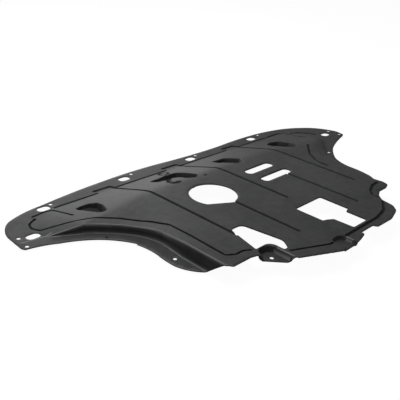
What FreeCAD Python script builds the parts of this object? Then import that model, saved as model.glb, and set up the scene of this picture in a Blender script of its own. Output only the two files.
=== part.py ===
import FreeCAD, Part
import math
import os

os.makedirs("parts", exist_ok=True)
Vec = FreeCAD.Vector
doc = FreeCAD.newDocument("splash_shield")

# Driving sizes in millimetres. Every alias is a plain number that can be changed.
cells = [
    ("gauge", 3.0),
    ("trayRise", 32.0),
    ("beadHalfWidth", 3.2),
    ("beadDepth", 3.2),
    ("lineHalfWidth", 1.6),
    ("lineDepth", 1.2),
    ("roundBore", 57.5),
    ("roundFlat", 49.0),
    ("boltHoleRadius", 4.2),
    ("ovalHalfWidth", 10.5),
    ("ovalStraight", 11.0),
    ("slotHalfWidth", 12.8),
    ("bracketDepth", 12.0),
    ("smallBracketDepth", 8.0),
    ("recessLean", 0.25),
]
sizes = doc.addObject("Spreadsheet::Sheet", "sizes")
for row, (alias, value) in enumerate(cells, 1):
    sizes.set("A%d" % row, alias)
    sizes.set("B%d" % row, str(value))
    sizes.setAlias("B%d" % row, alias)
doc.recompute()

gauge = float(sizes.gauge)
trayRise = float(sizes.trayRise)
beadHalfWidth = float(sizes.beadHalfWidth)
beadDepth = float(sizes.beadDepth)
lineHalfWidth = float(sizes.lineHalfWidth)
lineDepth = float(sizes.lineDepth)

# Heights of the road-side surface: the floor of the tray and the low strip and flanges.
stripZ = gauge
floorZ = gauge + trayRise


def bezel(points, closed):
    """Lines through the points with each corner rounded by its own radius."""
    places = [Vec(p[0], p[1], p[2]) for p in points]
    radii = [p[3] for p in points]
    count = len(places)
    starts = []
    for i in range(count):
        if not closed and i in (0, count - 1):
            starts.append((places[i], None, places[i]))
            continue
        here = places[i]
        back = (places[i - 1] - here)
        ahead = (places[(i + 1) % count] - here)
        backRoom = back.Length
        aheadRoom = ahead.Length
        back.normalize()
        ahead.normalize()
        turn = math.pi - back.getAngle(ahead)
        if radii[i] <= 0 or turn < 0.01:
            starts.append((here, None, here))
            continue
        cut = min(radii[i] * math.tan(turn / 2), 0.48 * backRoom, 0.48 * aheadRoom)
        radius = cut / math.tan(turn / 2)
        bisector = back + ahead
        bisector.normalize()
        gap = radius / math.cos(turn / 2) - radius
        starts.append((here + back * cut, here + bisector * gap, here + ahead * cut))
    pieces = []
    for i in range(count):
        if not closed and i == count - 1:
            break
        first = starts[i][2]
        last = starts[(i + 1) % count][0]
        if (last - first).Length > 1e-4:
            pieces.append(Part.LineSegment(first, last))
        corner = starts[(i + 1) % count]
        if corner[1] is not None:
            pieces.append(Part.Arc(corner[0], corner[1], corner[2]))
    return pieces


def arcsThrough(points):
    """Arcs end to end, each through three of the points."""
    places = [Vec(x, y, 0) for x, y in points]
    return [Part.Arc(*places[i:i + 3]) for i in range(0, len(places) - 2, 2)]


def planSketch(name, pieces, height=None):
    """A flat sketch of the pieces, raised by an expression of the sheet."""
    sketch = doc.addObject("Sketcher::SketchObject", name)
    for piece in pieces:
        sketch.addGeometry(piece, False)
    if height:
        sketch.setExpression("Placement.Base.z", height)
    return sketch


def prism(name, pieces, base, height):
    """The sketch of the pieces, pulled up from base by height."""
    sketch = planSketch(name + "_plan", pieces, base)
    body = doc.addObject("Part::Extrusion", name)
    body.Base = sketch
    body.DirMode = "Custom"
    body.Dir = Vec(0, 0, 1)
    body.Solid = True
    body.setExpression("LengthFwd", height)
    return body


def fuse(name, shapes):
    joined = doc.addObject("Part::MultiFuse", name)
    joined.Shapes = shapes
    return joined


def cut(name, base, tool):
    result = doc.addObject("Part::Cut", name)
    result.Base = base
    result.Tool = tool
    return result


# Edge of the sheet seen from above, from the left tip round the front to the right tip.
frontEdge = [
    (-571, 205), (-560, 238), (-535, 265), (-494, 280), (-442, 288), (-351, 300), (-257, 307), (-154, 310),
    (-54, 305), (50, 297), (177, 296), (260, 299), (340, 296), (395, 288), (441, 277), (492, 255), (535, 226),
    (562, 192), (578, 155),
]
# The left edge has a small step, where its two stretches meet.
leftFrontEdge = [(-569, 144), (-540, 138), (-503, 123), (-465, 106), (-432, 84), (-403, 53), (-383, 21)]
leftRearEdge = [(-386, 18), (-381, -9), (-381, -40), (-384, -66), (-384, -91), (-374, -120), (-356, -144)]
rightEdge = [
    (338, -113), (347, -85), (352, -45), (361, 0), (374, 24), (409, 56), (453, 83), (510, 105), (560, 119),
]
# Corners of the rear edge from left to right, each with the radius that rounds it.
rearEdge = [
    (-356, -144, 0), (-356, -198, 3), (-285, -201, 10), (-269, -205, 8), (-227, -249, 8), (-217, -250, 4),
    (-213, -263, 5), (-118, -307, 8), (-106, -303, 6), (-71, -303, 6), (-64, -307, 5), (-46, -304, 12),
    (-23, -298, 4), (-21, -289, 2), (27, -289, 2), (33, -299, 4), (92, -300, 40), (138, -287, 30),
    (156, -268, 24), (163, -236, 16), (178, -219, 20), (204, -206, 10), (236, -206, 20), (258, -199, 14),
    (264, -182, 12), (260, -156, 16), (281, -129, 0), (327, -129, 4), (338, -113, 0),
]
rightTip = [(560, 119, 0), (573, 125, 8), (578, 155, 0)]
leftTip = [(-571, 205, 0), (-574, 152, 10), (-569, 144, 0)]


def corners(points):
    return bezel([(x, y, 0, r) for x, y, r in points], False)


outline = []
for curve in (frontEdge, leftFrontEdge, leftRearEdge, rightEdge):
    outline += arcsThrough(curve)
outline += [Part.LineSegment(Vec(*leftFrontEdge[-1], 0), Vec(*leftRearEdge[0], 0))]
outline += corners(rearEdge) + corners(rightTip) + corners(leftTip)

# The working blocks reach past the sheet on every side.
margin = 30.0
reach = margin - min(y for x, y, r in rearEdge)
frontReach = margin + max(y for x, y in frontEdge)
sideReach = margin + max(abs(x) for x, y in frontEdge)

# The raised tray is built from ruled patches. Each has a low and a high line, and a line is
# (start, middle or None, end, share of the tray's rise at the start, share at the end).
rampFoot = 258.0
wallRearLow = ((-356, -reach), None, (-352, -80), 0, 0)
wallRearHigh = ((-345, -reach), None, (-345, -80), 1, 1)
wallHigh = [
    ((-345, -80), (-343, -46), (-341, -9), 1, 0.76),
    ((-341, -9), (-348, 21), (-365, 55), 0.76, 0.60),
    ((-365, 55), (-400, 94), (-441, 126), 0.60, 0.64),
    ((-441, 126), None, (-508, 159), 0.64, 0.03),
]
wallLow = [
    ((-352, -80), (-348, -47), (-346, -14), 0, 0),
    ((-346, -14), (-352, 18), (-369, 51), 0, 0),
    ((-369, 51), (-403, 90), (-440, 119), 0, 0),
    ((-440, 119), None, (-509, 157), 0, 0),
]
# The floor's left shoulder dips to the wall's top, from a line along the level floor.
shoulderHigh = [
    ((-337, -80), None, (-320, -10), 1, 1),
    ((-320, -10), None, (-295, 60), 1, 1),
    ((-295, 60), None, (-250, 146), 1, 1),
]
rampHigh = [
    ((-508, 159), None, (-441, 126), 0.03, 0.64),
    ((-441, 126), None, (-250, 146), 0.64, 1),
    ((-250, 146), None, (200, 132), 1, 1),
    ((200, 132), None, (354, 106), 1, 1),
    ((354, 106), (366, 101), (375, 95), 1, 1),
]
rampLow = [
    ((-509, 157), (-499, 214), (-445, rampFoot), 0, 0),
    ((-445, rampFoot), None, (-250, rampFoot), 0, 0),
    ((-250, rampFoot), None, (200, rampFoot), 0, 0),
    ((200, rampFoot), None, (400, 252), 0, 0),
    ((400, 252), (462, 212), (474, 135), 0, 0),
]
rightHigh = [
    ((375, 95), (345, 72), (320, 50), 1, 1),
    ((320, 50), (298, 22), (288, -12), 1, 1),
    ((288, -12), None, (284, -60), 1, 1),
    ((284, -60), None, (279, -reach), 1, 1),
]
rightLow = [
    ((474, 135), (443, 112), (416, 90), 0, 0),
    ((416, 90), (378, 55), (361, 25), 0, 0),
    ((361, 25), None, (318, -60), 0, 0),
    ((318, -60), None, (300, -reach), 0, 0),
]
lowRing = [wallRearLow] + wallLow + rampLow + rightLow
highRing = [wallRearHigh] + wallHigh + rampHigh + rightHigh
floorRear = ((-337, -reach), None, (-337, -80), 1, 1)
floorRing = [floorRear] + shoulderHigh + rampHigh[2:] + rightHigh


def crownY(x):
    """Where the ramp meets the floor at this x."""
    start, middle, end, low, high = rampHigh[3] if x > 200 else rampHigh[2]
    return start[1] + (end[1] - start[1]) * (x - start[0]) / (end[0] - start[0])


def heading(line, atEnd):
    """Direction in plan at one end of a line."""
    start, middle, end = (None if p is None else Vec(p[0], p[1], 0) for p in line[:3])
    if middle is None:
        return (end - start).normalize()
    arc = Part.Arc(start, middle, end)
    return arc.tangent(arc.LastParameter if atEnd else arc.FirstParameter)[0]


def insets(amount):
    """How far each named point of the tray moves in plan, so that the gauge stays square to the slopes."""
    moves = {}
    steps = []
    for low, high in zip(lowRing, highRing):
        run = Vec(high[0][0] - low[0][0], high[0][1] - low[0][1], 0)
        inward = Vec(heading(low, False).y, -heading(low, False).x, 0)
        rise = trayRise * max(high[3], high[4])
        steps.append(amount * math.tan(math.atan2(rise, abs(run.dot(inward))) / 2))
    for i, (low, high) in enumerate(zip(lowRing, highRing)):
        before = heading(lowRing[i - 1], True) if i else heading(low, False)
        after = heading(low, False)
        normal = Vec(before.y + after.y, -before.x - after.x, 0).normalize()
        move = normal * (steps[i - 1] + steps[i]) / 2 if i else normal * steps[i]
        moves.setdefault(low[0], move)
        moves.setdefault(high[0], move)
        if low[1] is not None:
            arc = Part.Arc(*(Vec(p[0], p[1], 0) for p in low[:3]))
            along = arc.tangent(arc.parameter(Vec(low[1][0], low[1][1], 0)))[0]
            middle = Vec(along.y, -along.x, 0) * steps[i]
            moves.setdefault(low[1], middle)
            if high[1] is not None:
                moves.setdefault(high[1], middle)
    after = heading(lowRing[-1], True)
    moves.setdefault(lowRing[-1][2], Vec(after.y, -after.x, 0) * steps[-1])
    moves.setdefault(highRing[-1][2], Vec(after.y, -after.x, 0) * steps[-1])
    # the rear end stays in one upright plane
    return {point: Vec(move.x, 0 if point[1] == -reach else move.y, 0) for point, move in moves.items()}


def trayEdge(line, baseZ, moves):
    """The line as an edge in space, with its points moved in plan."""
    start, middle, end, low, high = line

    def place(point, share):
        return Vec(point[0], point[1], baseZ + trayRise * share) + moves.get(point, Vec(0, 0, 0))

    if middle is None:
        return Part.LineSegment(place(start, low), place(end, high)).toShape()
    return Part.Arc(place(start, low), place(middle, (low + high) / 2), place(end, high)).toShape()


def trayBlock(name, baseZ, amount):
    """Solid under the tray's road side, stepped in by the given thickness and standing at baseZ."""
    moves = insets(amount) if amount else {}
    edges = {}
    for line in lowRing + highRing + floorRing:
        edges[line] = trayEdge(line, baseZ, moves)
    pairs = list(zip(lowRing, highRing))
    pairs += list(zip([wallRearHigh] + wallHigh[:3], [floorRear] + shoulderHigh))
    faces = [Part.makeRuledSurface(edges[low], edges[high]) for low, high in pairs]
    rear = [
        edges[lowRing[-1]].Vertexes[-1].Point, edges[lowRing[0]].Vertexes[0].Point,
        edges[highRing[0]].Vertexes[0].Point, edges[floorRear].Vertexes[0].Point,
        edges[floorRing[-1]].Vertexes[-1].Point,
    ]
    faces.append(Part.Face(Part.makePolygon(rear + rear[:1])))
    for rim in (lowRing, floorRing):
        closing = Part.LineSegment(edges[rim[-1]].Vertexes[-1].Point, edges[rim[0]].Vertexes[0].Point)
        loop = Part.Wire([edges[line] for line in rim] + [closing.toShape()])
        faces.append(Part.Face(loop))
    shell = Part.Shell(faces)
    shell.sewShape()
    block = doc.addObject("Part::Feature", name)
    block.Shape = Part.Solid(shell)
    return block


def slab(name, low, top):
    """A level block under the whole plan, from low up to the height given by an expression."""
    block = doc.addObject("Part::Box", name)
    block.Length = 2 * sideReach
    block.Width = frontReach + reach + margin
    block.setExpression("Height", top + " + %g" % -low)
    block.Placement.Base = Vec(-sideReach, -reach - margin, low)
    return block


upperBase = -20.0
underBase = -30.0
upper = fuse("road_side", [slab("strip_slab", upperBase, "sizes.gauge"), trayBlock("tray_upper", stripZ, 0)])
under = fuse("under_side", [slab("under_slab", underBase, "0"), trayBlock("tray_under", 0.0, gauge)])
# The same sides, lowered by the depth of the beads or lines.
grooveBed = fuse("groove_bed", [
    slab("groove_slab", upperBase, "sizes.gauge - sizes.beadDepth"),
    trayBlock("tray_groove", stripZ - beadDepth, 0),
])
lineBed = fuse("line_bed", [
    slab("line_slab", upperBase, "sizes.gauge - sizes.lineDepth"),
    trayBlock("tray_line", stripZ - lineDepth, 0),
])
ridgeBed = fuse("ridge_bed", [
    slab("ridge_slab", underBase, "-sizes.beadDepth"),
    trayBlock("tray_ridge", -beadDepth, gauge),
])

# Beads. Each path point is (x, y, corner radius) in plan, and the bead follows the sheet's height.
bend = 40.0
turn = 9.0
hookReach = 14.0
tipWidth = 0.45


def longBead(x, rearY, footX, tailX):
    """A bead along the floor, down the ramp and then sideways along the strip."""
    return [
        (x, rearY, 0), (x, crownY(x), bend), (footX, rampFoot, bend),
        (footX - 1, rampFoot + hookReach, turn), (tailX, rampFoot + hookReach + 1, 0),
    ]


beadPaths = [
    longBead(-240, -123, -250, -301),
    longBead(-9, -81, -25, -76),
    longBead(213, -128, 206, 160),
    [(-124, -10, 0), (-124, -198, 0)],
    [(107, 10, 0), (107, -199, 0)],
    [(-424, 187, 0), (-433, 252, turn), (-456, 256, 20), (-484, 252, 0)],
    [
        (-485, 241, 0), (-508, 228, turn), (-515, 210, 12), (-505, 189, 14), (-459, 167, bend), (-417, 142, bend),
        (-368, 95, 60), (-331, 40, 60), (-317, -5, 60), (-316, -69, 60), (-319, -164, turn), (-300, -175, turn),
        (-278, -175, turn), (-264, -184, 0),
    ],
    [(-205, -236, 0), (-119, -274, turn), (-110, -274, 0)],
    [(-60, -276, 0), (70, -276, 60), (118, -266, 60), (156, -242, 0)],
    [(246, -175, 0), (222, -176, 30), (190, -189, 30), (168, -208, 14), (168, -221, 0)],
    [(324, 92, 0), (270, 48, 80), (240, 4, bend), (237, -31, 0)],
    [(345, 254, 0), (402, 256, 20), (416, 232, 20), (403, 190, 30), (406, 158, 0)],
    [(430, 228, 0), (462, 223, 20), (486, 199, 20), (494, 178, 0)],
    [(-129, 184, 0), (-145, 172, turn), (-163, 151, turn), (-163, 134, 8), (-146, 134, 0)],
]
# A finer line marks the ramp's foot between the long beads.
linePaths = [
    [(-422, rampFoot + 1, 0), (-303, rampFoot + 1, 0)],
    [(-246, rampFoot + 1, 0), (-78, rampFoot + 1, 0)],
    [(-21, rampFoot + 1, 0), (158, rampFoot, 0)],
    [(210, rampFoot - 1, 0), (335, rampFoot - 4, 0)],
]
# Round dimples and one ring, each (x, y, radius).
dimples = [(-68, 128, 4.0), (-416, 80, 3.0)]
ringPlace = (-105, 232, 12.0)
lowest = "-15"
tall = "sizes.trayRise + 40"


def band(path, half):
    """Outline of a bead of this half width along the path, with blunt tips."""
    places = [Vec(x, y, 0) for x, y, r in path]
    ways = [(after - before).normalize() for before, after in zip(places, places[1:])]
    sides = {1: [], -1: []}
    for i, (here, point) in enumerate(zip(places, path)):
        before = ways[max(i - 1, 0)]
        after = ways[min(i, len(ways) - 1)]
        across = Vec(-before.y - after.y, before.x + after.x, 0)
        across = across * 2.0 * half / across.dot(across)
        turning = 1 if before.x * after.y > before.y * after.x else -1
        for side in sides:
            place = here + across * side
            radius = point[2] - side * turning * half if point[2] else 0
            sides[side].append((place.x, place.y, 0, radius))
    tips = []
    for place, way in ((places[-1], ways[-1]), (places[0], ways[0] * -1)):
        across = Vec(way.y, -way.x, 0) * half * tipWidth
        for side in (1, -1):
            tip = place + way * half + across * side
            tips.append((tip.x, tip.y, 0, 0))
    return bezel(sides[-1] + tips[:2] + sides[1][::-1] + tips[2:], True)


def bars(kind, paths, half):
    """Upright bars along the paths."""
    return [prism("%s_%d" % (kind, i), band(path, half), lowest, tall) for i, path in enumerate(paths, 1)]


def post(name, x, y, radius):
    """An upright round bar."""
    bar = doc.addObject("Part::Cylinder", name)
    bar.Radius = radius
    bar.setExpression("Height", tall)
    bar.Placement.Base = Vec(x, y, float(lowest))
    return bar


grooves = cut("grooves", fuse("groove_bars", bars("groove", beadPaths, beadHalfWidth)), grooveBed)
ridges = cut("ridges", fuse("ridge_bars", bars("ridge", beadPaths, beadHalfWidth + gauge)), ridgeBed)

# The lines, dimples and ring are too shallow to show on the other side.
x, y, radius = ringPlace
ringInner = post("ring_inner", x, y, radius - lineHalfWidth)
ring = cut("ring", post("ring_outer", x, y, radius + lineHalfWidth), ringInner)
marks = bars("line", linePaths, lineHalfWidth) + [ring]
marks += [post("dimple_%d" % number, *dimple) for number, dimple in enumerate(dimples, 1)]
lines = cut("lines", fuse("mark_bars", marks), lineBed)

# Pockets pressed into the ramp. Each is (corners at its bottom, height of its bottom, corner radius).
recessLean = float(sizes.recessLean)
pocketPlans = [
    ([(-396, 203), (-376, 143), (-367, 141), (-356, 172), (-355, 206), (-364, 211), (-382, 208)], 6.0, 4.0),
    ([(-174, 202), (-168, 184), (-145, 180), (-132, 180), (-112, 165), (-108, 143), (-92, 133), (-84, 142),
      (-83, 186), (-88, 205), (-112, 210), (-136, 205)], 8.0, 3.0),
    ([(41, 192), (41, 168), (62, 129), (74, 131), (86, 146), (81, 188)], 8.0, 4.0),
    ([(261, 180), (258, 156), (264, 128), (280, 108), (291, 112), (303, 142), (306, 180), (290, 192)], 8.0, 4.0),
]
# Recesses at the rear edge, open towards the rear: two brackets.
bracketFloor = floorZ - float(sizes.bracketDepth)
smallBracketFloor = floorZ - float(sizes.smallBracketDepth)
pocketPlans += [
    ([(-214, -reach), (-218, -194), (-260, -194), (-260, -reach)], bracketFloor, 18.0),
    ([(-72, -reach), (-72, -267), (-103, -267), (-103, -reach)], smallBracketFloor, 12.0),
]


def spread(corners, distance):
    """The closed outline moved outwards by a distance, corner by corner."""
    count = len(corners)
    places = [Vec(x, y, 0) for x, y in corners]
    moved = []
    for i in range(count):
        before = (places[i] - places[i - 1]).normalize()
        after = (places[(i + 1) % count] - places[i]).normalize()
        normal = Vec(before.y + after.y, -before.x - after.x, 0)
        share = 2.0 / normal.dot(normal)
        moved.append(places[i] + normal * distance * share)
    return moved


def dish(name, corners, bottom, radius, top, grow):
    """A recess with leaning sides, open at the top, its outline grown by a distance."""
    lean = recessLean * (top - bottom)
    low = [(p.x, p.y, bottom, radius + grow) for p in spread(corners, grow)]
    high = [(p.x, p.y, top, radius + lean / 2 + grow) for p in spread(corners, grow + lean)]
    lowEdges = [piece.toShape() for piece in bezel(low, True)]
    highEdges = [piece.toShape() for piece in bezel(high, True)]
    solid = Part.makeLoft([Part.Wire(lowEdges), Part.Wire(highEdges)], True, True)
    block = doc.addObject("Part::Feature", name)
    block.Shape = solid
    return block


pockets = []
pocketShells = []
skinTop = floorZ + 6
shellGrow = 0.8 * gauge
for number, (corners, bottom, radius) in enumerate(pocketPlans, 1):
    pockets.append(dish("pocket_%d" % number, corners, bottom, radius, skinTop, 0.0))
    pocketShells.append(dish("pocket_shell_%d" % number, corners, bottom - gauge, radius,
                             skinTop - gauge, shellGrow))

ridgedCore = cut("ridged_core", under, ridges)
core = cut("core", ridgedCore, fuse("pocket_shells", pocketShells))
skin = cut("skin", upper, core)

# Openings through the sheet, each as a prism that runs past both faces.
def circleAt(x, y, radius):
    return [Part.Circle(Vec(x, y, 0), Vec(0, 0, 1), radius)]


def flatCircle(x, y, radius, reachToFlat, side):
    """A circle with one flat, which lies towards the given angle in degrees."""
    centre = Vec(x, y, 0)
    half = math.degrees(math.acos(reachToFlat / radius))

    def at(angle):
        return centre + Vec(math.cos(math.radians(angle)), math.sin(math.radians(angle)), 0) * radius

    return [
        Part.LineSegment(at(side - half), at(side + half)),
        Part.Arc(at(side + half), at(side + 180), at(side - half)),
    ]


def slotAt(x, y, straight, halfWidth):
    """An oval with straight sides along the x axis."""
    half = straight / 2.0

    def at(dx, dy):
        return Vec(x + dx, y + dy, 0)

    return [
        Part.LineSegment(at(-half, -halfWidth), at(half, -halfWidth)),
        Part.Arc(at(half, -halfWidth), at(half + halfWidth, 0), at(half, halfWidth)),
        Part.LineSegment(at(half, halfWidth), at(-half, halfWidth)),
        Part.Arc(at(-half, halfWidth), at(-half - halfWidth, 0), at(-half, -halfWidth)),
    ]


def plate(points):
    return bezel([(x, y, 0, r) for x, y, r in points], True)


roundBore = float(sizes.roundBore)
boltHoleRadius = float(sizes.boltHoleRadius)
ovalHalfWidth = float(sizes.ovalHalfWidth)
ovalStraight = float(sizes.ovalStraight)
slotHalfWidth = float(sizes.slotHalfWidth)

serviceWindow = [
    (-42, -130, 5), (57, -130, 5), (57, -208, 4), (41, -212, 3), (41, -266, 4), (-14, -266, 4), (-16, -216, 3),
    (-30, -208, 3), (-42, -204, 3),
]
drainWindow = [
    (-232, -100, 14), (-197, -101, 14), (-180, -200, 22), (-197, -225, 12), (-209.5, -225, 4), (-209.5, -187, 27),
    (-254, -187.5, 2),
]
slotRows = [(75, 71.5, 100), (77.5, 17.5, 107)]
ovals = [(-529, 180), (-443, 272), (-196, 287), (33, 278), (295, 278), (522, 160)]
boltHoles = [
    (-557, 190), (-561, 152), (-419, 280), (-163, 299), (62, 287), (338, 287), (557, 171), (562, 133), (398, 64),
    (-366, -74), (-240, -218),
]
roundFlat = float(sizes.roundFlat)
openings = [prism("round_opening", flatCircle(-134, 39.5, roundBore, roundFlat, 241.0), lowest, tall)]
openings.append(prism("service_window", plate(serviceWindow), lowest, tall))
openings.append(prism("drain_window", plate(drainWindow), lowest, tall))
for number, (x, y, length) in enumerate(slotRows, 1):
    straight = length - 2 * slotHalfWidth
    openings.append(prism("slot_%d" % number, slotAt(x, y, straight, slotHalfWidth), lowest, tall))
for number, (x, y) in enumerate(ovals, 1):
    openings.append(prism("oval_%d" % number, slotAt(x, y, ovalStraight, ovalHalfWidth), lowest, tall))
for number, (x, y) in enumerate(boltHoles, 1):
    openings.append(prism("bolt_hole_%d" % number, circleAt(x, y, boltHoleRadius), lowest, tall))

edgePrism = prism("edge_prism", outline, lowest, tall)
trimmed = doc.addObject("Part::Common", "trimmed")
trimmed.Base = skin
trimmed.Tool = edgePrism

# The left wall's lower edge rises to the floor behind the end of its flange.
wallEnd = [(-146, -1, 0, 0), (-196, 33, 0, 0), (-206, 33, 0, 0), (-206, -1, 0, 0)]
taperPlan = planSketch("wall_end_plan", bezel(wallEnd, True))
taperPlan.Placement = FreeCAD.Placement(Vec(-375, 0, 0), FreeCAD.Rotation(Vec(1, 1, 1), 120))
taper = doc.addObject("Part::Extrusion", "wall_end")
taper.Base = taperPlan
taper.DirMode = "Custom"
taper.Dir = Vec(1, 0, 0)
taper.LengthFwd = 45
taper.Solid = True
tapered = cut("tapered", trimmed, taper)

grooved = cut("grooved", cut("lined", tapered, lines), grooves)
pressed = cut("pressed", grooved, fuse("pocket_hollows", pockets))
shield = cut("splash_shield", pressed, fuse("through_openings", openings))
shield.Label = "splash_shield"
doc.recompute()

# The frame's origin is below the middle of the plan, at the height of the lowest ridge.
bounds = shield.Shape.optimalBoundingBox(False)
shield.Placement.Base = Vec(-bounds.Center.x, -bounds.Center.y, -bounds.ZMin)
doc.recompute()

for item in doc.Objects:
    if "Invalid" in item.State or "Error" in item.State:
        raise RuntimeError("%s: %s" % (item.Name, item.State))
shape = shield.Shape
if shape.isNull() or not shape.isValid():
    raise RuntimeError("the shield's shape isn't valid")
print("origin moved by", shield.Placement.Base, "volume", shape.Volume)
shape.exportStep("parts/splash_shield.step")
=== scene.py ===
import math

import bpy
import numpy as np
from mathutils import Matrix, Vector
from mathutils.bvhtree import BVHTree
from mathutils.geometry import delaunay_2d_cdt
from mathutils.kdtree import KDTree


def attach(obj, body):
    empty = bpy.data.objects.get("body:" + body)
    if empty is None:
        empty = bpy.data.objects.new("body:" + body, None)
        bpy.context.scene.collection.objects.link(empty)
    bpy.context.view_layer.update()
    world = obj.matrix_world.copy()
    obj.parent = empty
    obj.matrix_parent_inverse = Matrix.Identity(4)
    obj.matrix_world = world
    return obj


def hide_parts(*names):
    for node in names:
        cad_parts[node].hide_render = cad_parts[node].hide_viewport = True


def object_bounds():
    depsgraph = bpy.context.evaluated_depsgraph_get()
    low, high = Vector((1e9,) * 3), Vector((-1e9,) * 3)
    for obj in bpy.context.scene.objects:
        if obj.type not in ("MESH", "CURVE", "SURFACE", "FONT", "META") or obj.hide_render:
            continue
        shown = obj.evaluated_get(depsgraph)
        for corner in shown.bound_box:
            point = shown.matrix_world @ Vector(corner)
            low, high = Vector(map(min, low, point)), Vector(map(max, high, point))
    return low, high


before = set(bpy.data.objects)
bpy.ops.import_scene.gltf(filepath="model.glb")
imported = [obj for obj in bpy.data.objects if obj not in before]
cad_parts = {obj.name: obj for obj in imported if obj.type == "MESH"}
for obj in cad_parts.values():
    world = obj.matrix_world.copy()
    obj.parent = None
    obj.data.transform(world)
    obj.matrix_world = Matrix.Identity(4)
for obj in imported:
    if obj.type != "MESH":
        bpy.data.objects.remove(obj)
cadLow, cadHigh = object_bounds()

scene = bpy.context.scene

# Plan sizes in millimetres, as in the part's own plan
plan = {
    "gauge": 3.0,
    "rise": 32.0,  # from the front strip up to the raised floor
    "shift": (-2.082, -1.651, 3.2),  # from the plan into the row frame
    "rampFoot": 258.0,
    "thinnest": 0.8,  # of the gauge, under grooves and marks
}
stripZ = plan["gauge"]
floorZ = plan["gauge"] + plan["rise"]


def straight(a, b, step):
    # the points of a straight line, about step apart
    count = max(1, int(math.ceil(np.linalg.norm(b - a) / step)))
    share = np.linspace(0, 1, count + 1)[:, None]
    return a + (b - a) * share


def wrap(angle):
    # the same angle between minus half a turn and half a turn
    return (angle + math.pi) % (2 * math.pi) - math.pi


cornerRule = {
    "step": 2.5,  # longest piece of a rounded corner
    "straight": 0.01,  # a turn too small to be rounded
    "room": 0.48,  # the share of each side that a corner may take
}


def rounded(corners, step, closed):
    # lines through the corners (x, y, radius), each corner rounded by its radius
    p = np.array([c[:2] for c in corners], float)
    count = len(p)
    ends = []
    for i in range(count):
        radius = corners[i][2]
        if (not closed and i in (0, count - 1)) or radius <= 0:
            ends.append(p[i][None])
            continue
        back = p[i - 1] - p[i]
        ahead = p[(i + 1) % count] - p[i]
        backRoom, aheadRoom = np.linalg.norm(back), np.linalg.norm(ahead)
        back, ahead = back / backRoom, ahead / aheadRoom
        turn = math.pi - math.acos(np.clip(back @ ahead, -1, 1))
        if turn < cornerRule["straight"]:
            ends.append(p[i][None])
            continue
        cut = min(radius * math.tan(turn / 2), cornerRule["room"] * min(backRoom, aheadRoom))
        radius = cut / math.tan(turn / 2)
        bisector = (back + ahead) / np.linalg.norm(back + ahead)
        centre = p[i] + bisector * radius / math.cos(turn / 2)
        first, last = p[i] + back * cut - centre, p[i] + ahead * cut - centre
        a0 = math.atan2(first[1], first[0])
        da = wrap(math.atan2(last[1], last[0]) - a0)
        pieces = max(2, int(math.ceil(abs(da) * radius / min(step, cornerRule["step"]))))
        angles = a0 + da * np.linspace(0, 1, pieces + 1)
        ends.append(centre + radius * np.stack([np.cos(angles), np.sin(angles)], 1))
    out = []
    for i in range(count if closed else count - 1):
        out.append(ends[i])
        out.append(straight(ends[i][-1], ends[(i + 1) % count][0], step)[1:-1])
    if not closed:
        out.append(ends[-1])
    return np.concatenate(out)


def arcThrough(a, m, b, count):
    # an arc from a by way of m to b, or a straight line where m is nothing
    share = np.linspace(0, 1, count + 1)[:, None]
    a, b = np.array(a, float), np.array(b, float)
    if m is None:
        return a + (b - a) * share
    m = np.array(m, float)
    d = 2 * np.array([m - a, b - a])
    rhs = np.array([m @ m - a @ a, b @ b - a @ a])
    centre = np.linalg.solve(d, rhs)
    radius = np.linalg.norm(a - centre)
    a0, a1, a2 = [math.atan2(*(q - centre)[::-1]) for q in (a, m, b)]
    da = wrap(a1 - a0) + wrap(a2 - a1)
    angles = a0 + da * share
    return centre + radius * np.concatenate([np.cos(angles), np.sin(angles)], 1)


def arcsThrough(points, step):
    # arcs end to end, each through three of the points
    out = []
    for a, m, b in zip(points[::2], points[1::2], points[2::2]):
        length = math.dist(a, m) + math.dist(m, b)
        out.append(arcThrough(a, m, b, int(math.ceil(length / step)))[:-1])
    return np.concatenate(out + [np.array([points[-1]], float)])


def inside(points, loop):
    # which points lie inside a closed loop
    hit = np.zeros(len(points), bool)
    x, y = points[:, 0], points[:, 1]
    for (ax, ay), (bx, by) in zip(loop, np.roll(loop, -1, axis=0)):
        if ay == by:
            continue
        cross = ((ay > y) != (by > y)) & (x < (bx - ax) * (y - ay) / (by - ay) + ax)
        hit ^= cross
    return hit


def lineDistance(points, line):
    # distance to an open line, for the points within reach of its box, and a huge one for the others
    reach = 12
    best = np.full(len(points), 1e9)
    low, high = line.min(0) - reach, line.max(0) + reach
    near = np.flatnonzero(((points > low) & (points < high)).all(1))
    p = points[near]
    found = np.full(len(near), 1e9)
    for a, b in zip(line[:-1], line[1:]):
        ab = b - a
        share = np.clip(((p - a) @ ab) / (ab @ ab), 0, 1)
        found = np.minimum(found, np.linalg.norm(p - a - share[:, None] * ab, axis=1))
    best[near] = found
    return best


def pointTree(points):
    tree = KDTree(len(points))
    for i, (x, y) in enumerate(points):
        tree.insert((x, y, 0), i)
    tree.balance()
    return tree


def nearest(tree, points):
    # the distance from each point to the closest one of the tree
    return np.array([tree.find((x, y, 0))[2] for x, y in points])


def fromPoint(points, x, y):
    return np.hypot(points[:, 0] - x, points[:, 1] - y)


def normals(line, closed=False):
    # unit vectors to the right of the line
    if closed:
        along = np.roll(line, -1, axis=0) - np.roll(line, 1, axis=0)
    else:
        along = np.gradient(line, axis=0)
    along /= np.linalg.norm(along, axis=1)[:, None]
    return np.stack([along[:, 1], -along[:, 0]], 1)


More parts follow.
